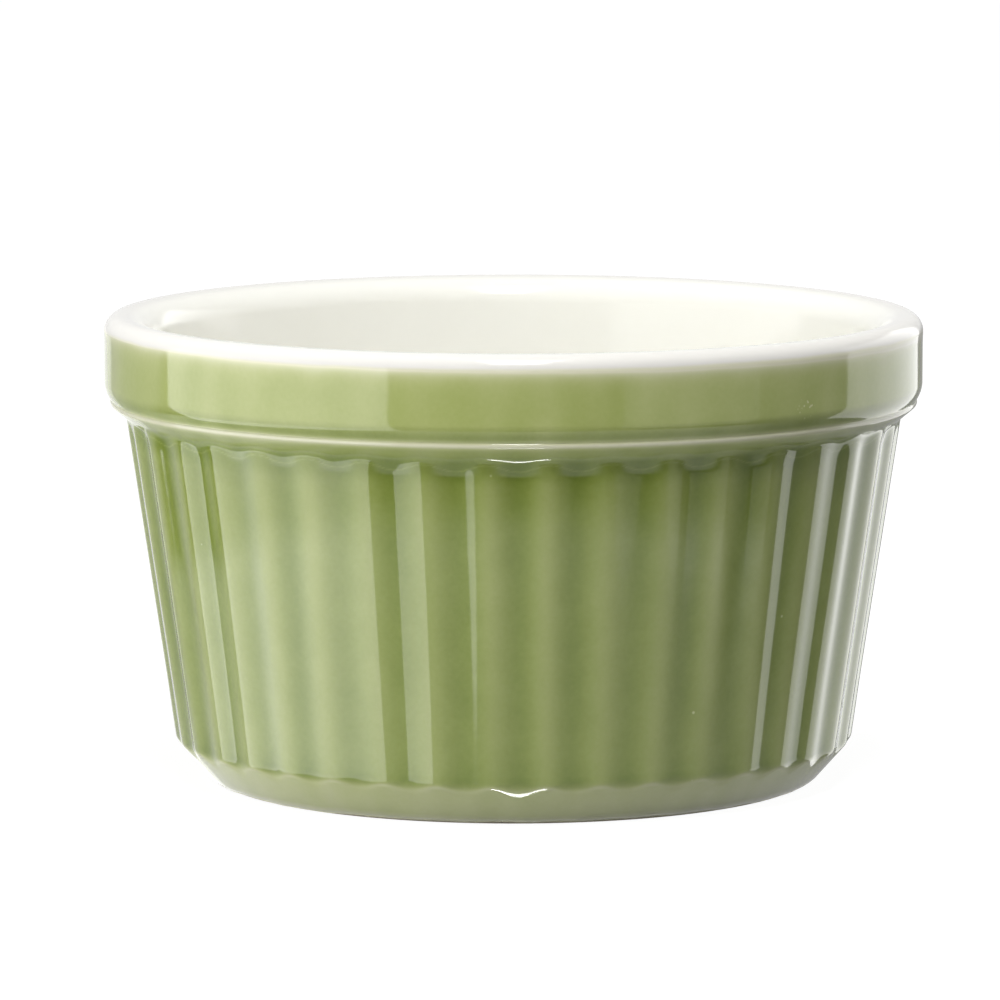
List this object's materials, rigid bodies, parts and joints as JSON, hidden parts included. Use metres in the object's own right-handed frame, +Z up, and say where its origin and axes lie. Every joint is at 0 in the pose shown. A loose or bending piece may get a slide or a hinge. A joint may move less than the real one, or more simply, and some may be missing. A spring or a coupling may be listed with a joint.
{
  "type": "ramekin",
  "caption": "Round straight-fluted ramekin with a plain overhanging collar, a coloured outer glaze, a white inner glaze and a bare stoneware foot ring.",
  "frame": {"origin": "on the axis, at the plane that the foot ring stands on", "axes": "+Z up along the axis of the dish, out of its mouth; -Y is the side that faces the picture's camera"},
  "size_m": [0.09, 0.09, 0.0514],
  "materials": {
    "stoneware": "bare fired clay",
    "green_glaze": "gloss, mottled olive green",
    "white_glaze": "gloss white"
  },
  "bodies": {
    "root": {"stoneware_body": "stoneware", "green_outer_glaze": "green_glaze", "white_inner_glaze": "white_glaze", "green_base_glaze": "green_glaze"}
  },
  "joints": []
}
